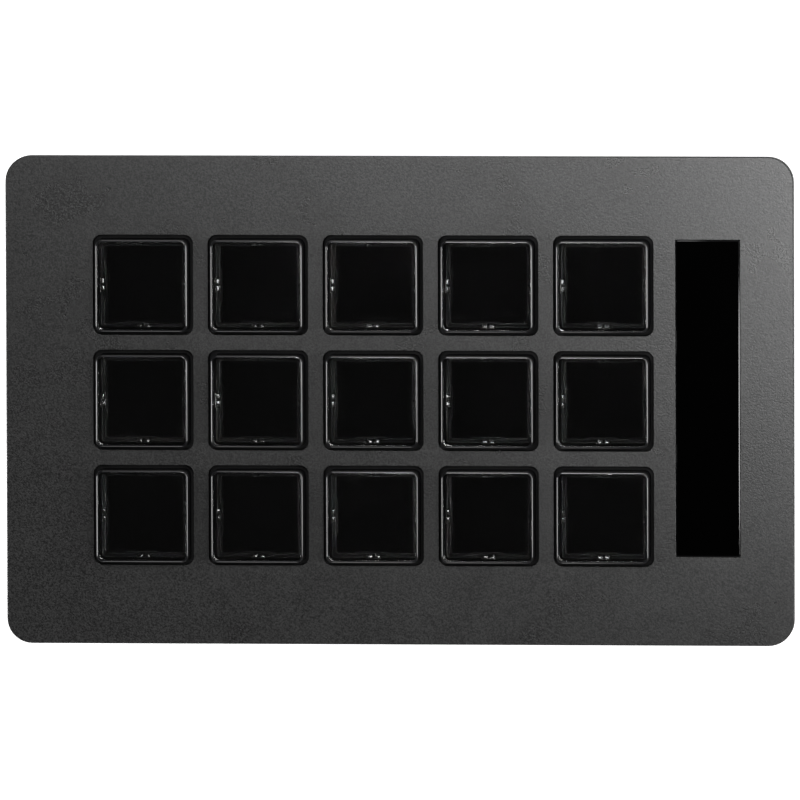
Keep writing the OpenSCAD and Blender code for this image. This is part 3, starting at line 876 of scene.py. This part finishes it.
@dataclass
class Keys:
    """The fifteen keys: a black frame with a thin rim, and a clear lens snapped into it."""

    half: float = 7.6
    corner_r: float = 1.1
    flange_half: float = 8.8
    flange_z: float = 18.9
    flange_top_z: float = 19.7
    flange_edge_r: float = 0.1
    rim_z: float = 25.0
    rim_w: float = 0.35
    rim_r: float = 0.3
    inner_rim_r: float = 0.02
    ledge_edge_r: float = 0.07
    pocket_r: float = 0.75
    ledge_z: float = 21.35
    shaft_half: float = 6.8
    shaft_r: float = 0.3
    lip_z: float = 20.0
    window_half: float = 6.4
    lens_half: float = 7.2
    lens_top_z: float = 24.75
    lens_edge_r: float = 0.05
    lens_gap: float = 0.05
    lens_chamfer: float = 0.05
    dish_reach: float = 6.7
    dish: float = 0.2
    dish_steps: int = 12
    peg_t: float = 0.36
    peg_w: float = 0.8
    peg_l: float = 1.25
    peg_u: float = 6.65
    peg_gap: float = 0.2
    notch_over: float = 1.0
    peg_spacing: float = 1.2
    peg_slope_deg: float = 14.0
    peg_crown: float = 0.038
    peg_roll: float = 0.07
    peg_lines: int = 6
    peg_pairs: int = 4

    def frame_mesh(self) -> Mesh:
        """Builds a frame about the origin.

        Returns:
            Its mesh.
        """
        body = Ring(self.half, self.half, self.corner_r, self.rim_z)
        pocket = Ring(self.half - self.rim_w, self.half - self.rim_w, self.pocket_r, self.rim_z)
        flange = Ring(self.flange_half, self.flange_half, self.corner_r, self.flange_top_z)
        shaft = Ring(self.shaft_half, self.shaft_half, self.shaft_r, self.ledge_z)
        window = Ring(self.window_half, self.window_half, self.shaft_r, self.lip_z)
        rings = [
            flange.grown(0, self.flange_z),
            *fillet(flange, self.flange_edge_r, steps=2),
            body.grown(0, self.flange_top_z),
            *fillet(body, self.rim_r, steps=8),
            *fillet(pocket, self.inner_rim_r, steps=2, outer=False, rising=False),
            pocket.grown(0, self.ledge_z),
            *fillet(shaft, self.ledge_edge_r, steps=3, outer=False, rising=False),
            shaft.grown(0, self.lip_z),
            *fillet(window, self.ledge_edge_r, steps=3, outer=False, rising=False),
            window.grown(0, self.flange_z),
        ]
        shaper = Shaper(corner_steps=8)
        shaper.loft(rings, looped=True)
        reach = self.peg_u + self.peg_t / 2 + self.peg_gap
        width = (self.peg_spacing + self.peg_w) / 2 + self.peg_gap
        notches = crossed_blocks(reach, width, (self.lip_z, self.ledge_z + self.notch_over))
        mesh = combined(shaper.mesh(), notches)
        return dressed(mesh, [KEY_ABS, SHADE_DARKENED_SLEEVE_ABS, STEP_ABS], choose=self.frame_finish)

    def frame_finish(self, face: BMFace) -> int:
        """Returns 0 for the polished rim, 2 for the edges of the steps inside, and 1 for the dull rest, whose
        darker black is painted shade.
        """
        if face.calc_center_median().z > (self.rim_z - self.rim_r) * MM:
            return 0
        return 2 if is_edge(face) else 1

    def lens_mesh(self) -> Mesh:
        """Builds a lens about the origin, with its finger dish and its snap pegs.

        Returns:
            Its mesh.
        """
        shaper = Shaper(corner_steps=6, side_steps=6)
        side = Ring(self.lens_half, self.lens_half, self.pocket_r - self.lens_gap, self.lens_top_z)
        foot = [side.grown(-self.lens_chamfer, self.ledge_z), side.grown(0, self.ledge_z + self.lens_chamfer)]
        loops = shaper.loft([*foot, *fillet(side, self.lens_edge_r)], caps=(True, False))
        sphere_r = (self.dish_reach**2 + self.dish**2) / (2 * self.dish)
        last = loops[-1]
        angles = [math.atan2(v.co.y, v.co.x) for v in last]
        for k in range(self.dish_steps):
            reach = self.dish_reach * (1 - k / self.dish_steps)
            z = self.lens_top_z - (self.dish - (sphere_r - math.sqrt(sphere_r**2 - reach**2)))
            points = [Vector((reach * math.cos(a), reach * math.sin(a), z)) * MM for a in angles]
            circle = [shaper.bm.verts.new(point) for point in points]
            shaper.bridge(last, circle)
            last = circle
        middle = shaper.bm.verts.new(Vector((0, 0, self.lens_top_z - self.dish)) * MM)
        for pair in pairs(last):
            shaper.bm.faces.new((*pair, middle))
        return joined([dressed(shaper.mesh(), [LENS_ACRYLIC], sharp=40), self.peg_mesh()])

    def peg_mesh(self) -> Mesh:
        """Builds the eight snap pegs of a lens, two at the middle of each side.

        Returns:
            Their mesh.
        """
        lengths = {
            "Thickness": self.peg_t,
            "Width": self.peg_w,
            "Length": self.peg_l,
            "Drop": self.peg_t * math.tan(math.radians(self.peg_slope_deg)),
            "Crown": self.peg_crown,
            "Roll": self.peg_roll,
            "Reach": self.peg_u,
            "Spacing": self.peg_spacing,
            "Top": self.ledge_z,
        }
        growth = Growth("snap_pegs", lengths, self.peg_pairs, PEG_ACRYLIC)
        tree, sizes = growth.tree, growth.given
        extent = {0: sizes["Thickness"], 1: sizes["Width"], 2: sizes["Length"]}
        size = add_node(tree, "ShaderNodeCombineXYZ", extent)
        lines = {"Size": size, "Vertices X": self.peg_lines, "Vertices Y": self.peg_lines}
        stem = add_node(tree, "GeometryNodeMeshCube", lines)
        place = add_node(tree, "GeometryNodeInputPosition")
        axes = add_node(tree, "ShaderNodeSeparateXYZ", {0: place}).outputs
        index = add_node(tree, "GeometryNodeInputIndex")
        terms = {"X": axes["X"], "Y": axes["Y"], "Z": axes["Z"], "index": index}
        terms |= {name: sizes[name] for name in lengths}
        for name, operation, *pair in (
            ("upper", "GREATER_THAN", "Z", 0.0),
            ("across", "DIVIDE", "X", "Thickness"),
            ("along", "DIVIDE", "Y", "Width"),
            ("inwards", "SUBTRACT", "across", 0.5),
            ("slope", "MULTIPLY", "inwards", "Drop"),
            ("across squared", "MULTIPLY", "across", "across"),
            ("crown", "MULTIPLY", "across squared", "Crown"),
            ("crowned", "SUBTRACT", "slope", "crown"),
            ("along squared", "MULTIPLY", "along", "along"),
            ("roll", "MULTIPLY", "along squared", "Roll"),
            ("fall", "SUBTRACT", "crowned", "roll"),
            ("half length", "MULTIPLY", "Length", -0.5),
            ("middle", "ADD", "Top", "half length"),
            ("first", "MULTIPLY", "Spacing", -0.5),
            ("angle", "MULTIPLY", "index", math.pi / 2),
        ):
            ends = {i: terms.get(term, term) for i, term in enumerate(pair)}
            terms[name] = add_node(tree, "ShaderNodeMath", ends, operation=operation)
        offset = add_node(tree, "ShaderNodeCombineXYZ", {2: terms["fall"]})
        bent = {"Geometry": stem, "Selection": terms["upper"], "Offset": offset}
        peg = add_node(tree, "GeometryNodeSetPosition", bent)
        corner = {0: sizes["Reach"], 1: terms["first"], 2: terms["middle"]}
        start = add_node(tree, "ShaderNodeCombineXYZ", corner)
        step = add_node(tree, "ShaderNodeCombineXYZ", {1: sizes["Spacing"]})
        row = {"Count": 2, "Start Location": start, "Offset": step}
        line = add_node(tree, "GeometryNodeMeshLine", row)
        copies = {"Points": line, "Instance": peg}
        pegs = add_node(tree, "GeometryNodeInstanceOnPoints", copies)
        sides = add_node(tree, "GeometryNodePoints", {"Count": sizes["Count"]})
        turn = add_node(tree, "ShaderNodeCombineXYZ", {2: terms["angle"]})
        turned = {"Points": sides, "Instance": pegs, "Rotation": turn}
        spread = add_node(tree, "GeometryNodeInstanceOnPoints", turned)
        return dressed(growth.mesh(spread), [PEG_ACRYLIC])

    def build(self, grid: KeyGrid) -> None:
        """Builds the keys, each on its own body.

        Args:
            grid: Places of the keys.
        """
        frame, lens = self.frame_mesh(), self.lens_mesh()
        for key, place in grid.places().items():
            for mesh, kind, finish in ((frame, "frame", KEY_ABS), (lens, "lens", LENS_ACRYLIC)):
                copy = moved_copy(mesh, place)
                seat(f"{kind}_{key}", copy, f"key_{key}", finish, f"key_{kind}_{key}")


@dataclass
class DomeMat:
    """The silicone mat: a sheet, and under each key an arched ring, shaped to fold as the key goes down."""

    inner: float = 6.7
    outer: float = 8.6
    lean: float = 0.6
    web: float = 0.3
    sheet_t: float = 0.6
    sheet_r: float = 0.1
    seam: float = 0.02
    folded: float = 0.31

    def centre_ring(self) -> Ring:
        """Returns the outline that the corners of every ring are concentric with."""
        return Ring(self.inner - self.lean, self.inner - self.lean, 0, 0)

    def ring_mesh(self, low: float, high: float) -> Mesh:
        """Builds an arched ring about the origin: two leaning webs and the pad that carries a flange.

        Args:
            low: Height of the sheet's underside in millimetres.
            high: Height of the pad.

        Returns:
            Its mesh.
        """
        centre = self.centre_ring()
        foot, top, hollow = self.outer + self.web, low + self.sheet_t, high - 2 * self.web
        section = (
            (foot, low),
            (foot, top),
            (self.outer, top),
            (self.outer - self.lean, high),
            (self.inner + self.lean, high),
            (self.inner, top),
            (self.inner, low),
            (self.inner + self.web, low),
            (self.inner + self.lean + self.web / 2, hollow),
            (self.outer - self.lean - self.web / 2, hollow),
            (self.outer - self.web, low),
        )
        shaper = Shaper(corner_steps=6)
        shaper.loft([centre.grown(half - centre.half_x, z) for half, z in section], looped=True)
        return dressed(shaper.mesh(), [MAT_SILICONE])

    def sheet_mesh(self, grid: KeyGrid, corners: Sequence[Vector]) -> Mesh:
        """Builds the sheet with an opening round each ring.

        Args:
            grid: Places of the keys.
            corners: The lowest and the highest corner of the mat, in millimetres.

        Returns:
            Its mesh.
        """
        low, high = corners
        centre, middle = self.centre_ring(), (low + high) / 2
        outline = Ring((high.x - low.x) / 2, (high.y - low.y) / 2, self.sheet_r, low.z)
        opening = centre.grown(self.outer + self.web + self.seam - centre.half_x, low.z)
        shapes = [(outline, Vector((middle.x, middle.y, 0)))]
        shapes += [(opening, place) for place in grid.places().values()]
        shaper = Shaper(corner_steps=6)
        shaper.plate([((ring, ring.grown(0, low.z + self.sheet_t)), place) for ring, place in shapes])
        return dressed(shaper.mesh(), [MAT_SILICONE])

    def build(self, grid: KeyGrid) -> None:
        """Builds the mat on the case, with a ring under each key.

        Args:
            grid: Places of the keys.
        """
        corners = [Vector(corner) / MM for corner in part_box("dome_mat")]
        dome = self.ring_mesh(corners[0].z, corners[1].z)
        seat("mat_sheet", self.sheet_mesh(grid, corners), "case", MAT_SILICONE, "dome_mat")
        for key, place in grid.places().items():
            piece = seat(f"dome_{key}", moved_copy(dome, place), "case", MAT_SILICONE, "dome_mat")
            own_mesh(piece)


@dataclass
class DisplayStrip:
    """The tall black glass at the right of the keys, with a bevelled face and a flange under the plate."""

    half_x: float = 5.25
    half_y: float = 26.05
    corner_r: float = 0.3
    top_z: float = 22.05
    bevel_w: float = 0.15
    bevel_deg: float = 37.5
    flange_w: float = 1.25
    flange_z: float = 18.9
    flange_top_z: float = 19.7
    flange_edge_r: float = 0.08

    def build(self) -> None:
        """Builds the strip on the case."""
        shaper = Shaper(corner_steps=4)
        face = Ring(self.half_x, self.half_y, self.corner_r, self.top_z)
        flange = face.grown(self.flange_w, self.flange_top_z)
        drop = self.bevel_w * math.tan(math.radians(self.bevel_deg))
        rings = [
            flange.grown(0, self.flange_z),
            *fillet(flange, self.flange_edge_r, steps=2),
            face.grown(0, self.flange_top_z),
            face.grown(0, self.top_z - drop),
            face.grown(-self.bevel_w, self.top_z),
        ]
        shaper.loft(rings, STRIP_CENTRE)
        finishes = [STRIP_GLASS, GROUND_EDGE]
        mesh = dressed(shaper.mesh(), finishes, sharp=20, choose=lambda face: int(is_edge(face)))
        seat("strip_glass", mesh, "case", STRIP_GLASS, "strip_window")


@dataclass
class Underside:
    """What shows below the cover: four rubber feet and four screws."""

    foot_half_x: float = 10.0
    foot_half_y: float = 3.5
    foot_r: float = 3.49
    foot_top_z: float = 1.6
    foot_edge_r: float = 0.45
    foot_x: float = 41.98
    foot_y: float = 31.55
    rib_w: float = 0.9
    rib_l: float = 5.4
    rib_h: float = 0.25
    rib_sunk: float = 0.1
    rib_pitch: float = 1.8
    rib_count: int = 7
    screw_x: float = 57.88
    screw_y: float = 33.13
    head_r: float = 2.2
    head_z: float = 1.05
    head_top_z: float = 2.15
    head_edge_r: float = 0.4
    shaft_r: float = 1.2
    shaft_top_z: float = 9.15
    tip_r: float = 0.3
    recess_l: float = 2.99
    recess_w: float = 0.5
    recess_depth: float = 0.55

    def feet(self) -> None:
        """Builds the feet, each a rounded pad with ribs that stand on the desk."""
        shaper = Shaper(corner_steps=10)
        pad = Ring(self.foot_half_x, self.foot_half_y, self.foot_r, self.rib_h)
        shaper.loft([*lower_fillet(pad, self.foot_edge_r, steps=5), pad.grown(0, self.foot_top_z)])
        height = self.rib_h + self.rib_sunk
        size, centre = (self.rib_w, self.rib_l, height), Vector((0, 0, height / 2))
        ribs = row_of_bars("ribs", size, self.rib_pitch, self.rib_count, centre, FOOT_RUBBER)
        foot = combined(shaper.mesh(), [ribs], "UNION")
        mesh = on_corners("feet", foot, self.foot_x, self.foot_y, FOOT_RUBBER)
        seat("feet", dressed(mesh, [FOOT_RUBBER]), "case", FOOT_RUBBER, "rubber_feet")

    def screws(self) -> None:
        """Builds the screws, each with a rounded head and a cross recess."""
        shaper = Shaper(corner_steps=10)
        head = Ring(self.head_r, self.head_r, self.head_r, self.head_z)
        shaft = Ring(self.shaft_r, self.shaft_r, self.shaft_r, self.shaft_top_z)
        rings = [
            *lower_fillet(head, self.head_edge_r, steps=5),
            head.grown(0, self.head_top_z),
            shaft.grown(0, self.head_top_z),
            shaft.grown(0, self.shaft_top_z - self.tip_r),
            shaft.grown(-self.tip_r, self.shaft_top_z),
        ]
        shaper.loft(rings)
        ends = (self.head_z - self.recess_depth, self.head_z + self.recess_depth)
        cross = crossed_blocks(self.recess_l / 2, self.recess_w / 2, ends)
        screw = combined(shaper.mesh(), cross)
        mesh = on_corners("screws", screw, self.screw_x, self.screw_y, BLACK_SCREW)
        seat("screws", dressed(mesh, [BLACK_SCREW]), "case", BLACK_SCREW, "cover_screws")

    def build(self) -> None:
        """Builds all that shows below the cover."""
        self.feet()
        self.screws()


@dataclass
class SocketContacts:
    """Gold contacts on both faces of the tongue in the socket."""

    tongue_t: float = 0.7
    tongue_z: float = 8.98
    front_y: float = 31.44
    set_back: float = 0.5
    length: float = 3.4
    width: float = 0.26
    thickness: float = 0.03
    sunk: float = 0.01
    pitch: float = 0.5
    count: int = 12

    def build(self) -> None:
        """Builds the contacts on the case."""
        y = self.front_y - self.set_back - self.length / 2
        rows = []
        for side, name in ((1, "upper_row"), (-1, "lower_row")):
            z = self.tongue_z + side * (self.tongue_t / 2 + self.thickness / 2 - self.sunk)
            size = (self.width, self.length, self.thickness)
            rows.append(row_of_bars(name, size, self.pitch, self.count, Vector((0, y, z)), CONTACT_GOLD))
        seat("socket_contacts", dressed(joined(rows), [CONTACT_GOLD]), "case", CONTACT_GOLD)


# Studio


@dataclass(frozen=True)
class Lamp:
    """A rectangular soft lamp that the camera doesn't see.

    Args:
        name: Name of the lamp.
        place: Its centre in metres.
        target: Point that it looks at, in metres.
        size: Its width and its height in metres.
        watts: Its power.
    """

    name: str
    place: Triple
    target: Triple
    size: tuple[float, float]
    watts: float

    def build(self) -> None:
        """Adds the lamp to the scene."""
        data = bpy.data.lights.new(self.name, "AREA")
        data.shape = "RECTANGLE"
        data.size, data.size_y = self.size
        data.energy = self.watts
        lamp = linked(self.name, data)
        place = Vector(self.place)
        turn = (Vector(self.target) - place).to_track_quat("-Z", "Y")
        lamp.matrix_world = Matrix.Translation(place) @ turn.to_matrix().to_4x4()
        lamp.visible_camera = False


# What the lamps look at in metres, the size of the four that light the edges, and the lamps
KEYS_MIDDLE = (0.0, 0.0, 0.02)
PLATE_MIDDLE = (0.0, 0.0, 0.022)
EDGE_SIZE = (0.14, 0.3)
LAMPS: tuple[Lamp, ...] = (
    Lamp("right sheen lamp", (0.0945, 0.0197, 0.2991), KEYS_MIDDLE, (0.08, 0.08), 0.3167),
    Lamp("rear sheen lamp", (-0.0084, 0.1241, 0.5257), KEYS_MIDDLE, (0.1, 0.1), 0.9814),
    Lamp("right edge lamp", (0.6, -0.05, 0.36), PLATE_MIDDLE, EDGE_SIZE, 2.2),
    Lamp("left edge lamp", (-0.6, -0.05, 0.36), PLATE_MIDDLE, EDGE_SIZE, 2.8),
    Lamp("rear edge lamp", (-0.085, 0.6, 0.36), PLATE_MIDDLE, EDGE_SIZE, 0.42),
    Lamp("front edge lamp", (-0.085, -0.6, 0.36), PLATE_MIDDLE, EDGE_SIZE, 0.55),
)


@dataclass
class Studio:
    """Floor, world and camera, with the lamps."""

    lens_mm: float = 1000.0
    sensor_mm: float = 36.0
    frame_mm: float = 131.57
    aim: Triple = (0.12, 0.13, 22.0)
    lean_x: float = 0.09
    lean_y: float = 0.075
    roll_deg: float = -0.193
    wall_deg: float = 20.0
    wall_light: float = 0.2
    ceiling_deg: float = 62.0
    ceiling_light: float = 0.03
    clip_m: tuple[float, float] = (0.1, 50.0)
    floor_half: float = 3.0
    floor_z: float = -0.0002
    floor_grey: float = 0.85
    floor_glow: float = 0.75

    def camera(self) -> None:
        """Places the camera far above the keys, a little to the right and to the rear."""
        data = bpy.data.cameras.new("camera")
        data.lens = self.lens_mm
        data.sensor_width = self.sensor_mm
        data.clip_start, data.clip_end = self.clip_m
        camera = linked("camera", data)
        away = Vector((self.lean_x, self.lean_y, 1.0)).normalized()
        distance = self.frame_mm / self.sensor_mm * self.lens_mm * MM
        right = Vector((0, 1, 0)).cross(away).normalized()
        up = away.cross(right)
        turn = Matrix((right, up, away)).transposed().to_4x4()
        roll = Matrix.Rotation(math.radians(self.roll_deg), 4, "Z")
        place = Vector(self.aim) * MM + away * distance
        camera.matrix_world = Matrix.Translation(place) @ turn @ roll
        bpy.context.scene.camera = camera

    def world(self) -> None:
        """Sets a grey world like a room with grey walls and a dark ceiling."""
        world = bpy.data.worlds.new("studio")
        bpy.context.scene.world = world
        world.use_nodes = True
        tree = world.node_tree
        place = add_node(tree, "ShaderNodeTexCoord")
        way = add_node(tree, "ShaderNodeSeparateXYZ", {"Vector": place.outputs["Generated"]})
        low, high = (math.sin(math.radians(angle)) for angle in (self.wall_deg, self.ceiling_deg))
        levels = {"Value": way.outputs["Z"], "From Min": low, "From Max": high}
        levels |= {"To Min": self.wall_light, "To Max": self.ceiling_light}
        light = add_node(tree, "ShaderNodeMapRange", levels, interpolation_type="SMOOTHSTEP")
        feed(tree.nodes["Background"], {"Color": (1, 1, 1, 1), "Strength": light.outputs["Result"]})

    def floor(self) -> None:
        """Lays a floor that glows a little for the camera, so that it reads white but keeps the shadow."""
        mesh = bpy.data.meshes.new("floor")
        low, high, z = -self.floor_half, self.floor_half, self.floor_z
        corners = [(low, low, z), (high, low, z), (high, high, z), (low, high, z)]
        mesh.from_pydata(corners, [], [(0, 1, 2, 3)])
        floor = linked("floor", mesh)
        material = bpy.data.materials.new("White_Paper_Floor")
        material.use_nodes = True
        tree = material.node_tree
        tree.nodes.clear()
        matt = add_node(tree, "ShaderNodeBsdfDiffuse", {"Color": (*[self.floor_grey] * 3, 1)})
        light = {"Color": (1, 1, 1, 1), "Strength": self.floor_glow}
        glow = add_node(tree, "ShaderNodeEmission", light)
        lit = add_node(tree, "ShaderNodeAddShader", {0: matt, 1: glow})
        path = add_node(tree, "ShaderNodeLightPath").outputs
        shown = path["Is Camera Ray"]
        for ray in ("Is Glossy Ray", "Is Transmission Ray"):
            rays = {0: shown, 1: path[ray]}
            shown = add_node(tree, "ShaderNodeMath", rays, operation="MAXIMUM")
        mix = add_node(tree, "ShaderNodeMixShader", {0: shown, 1: matt, 2: lit})
        add_node(tree, "ShaderNodeOutputMaterial", {"Surface": mix})
        mesh.materials.append(material)

    def build(self) -> None:
        """Builds the whole studio."""
        self.camera()
        self.world()
        self.floor()
        for lamp in LAMPS:
            lamp.build()
        LOG.info("studio: %d lamps", len(LAMPS))


def dress_solids(frame: dict[str, Any]) -> None:
    """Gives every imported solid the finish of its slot.
    """
    finishes = {finish.slot: finish for finish in FINISHES}
    for part in frame["record"]["subparts"]:
        solid = frame["nodes"][part["node"]]
        material = finishes[part["material_slot"]].build()
        solid.data.materials.clear()
        solid.data.materials.append(material)
    LOG.info("solids: %d dressed", len(frame["nodes"]))


def main() -> None:
    """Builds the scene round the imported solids."""
    logging.basicConfig(level=logging.INFO, format="%(name)s: %(message)s")
    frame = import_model()
    bpy.context.scene.view_settings.view_transform = "Standard"
    Studio().build()
    dress_solids(frame)
    grid = KeyGrid()
    Faceplate().build(grid)
    Keys().build(grid)
    DomeMat().build(grid)
    DisplayStrip().build()
    Underside().build()
    SocketContacts().build()


if __name__ == "__main__":
    main()
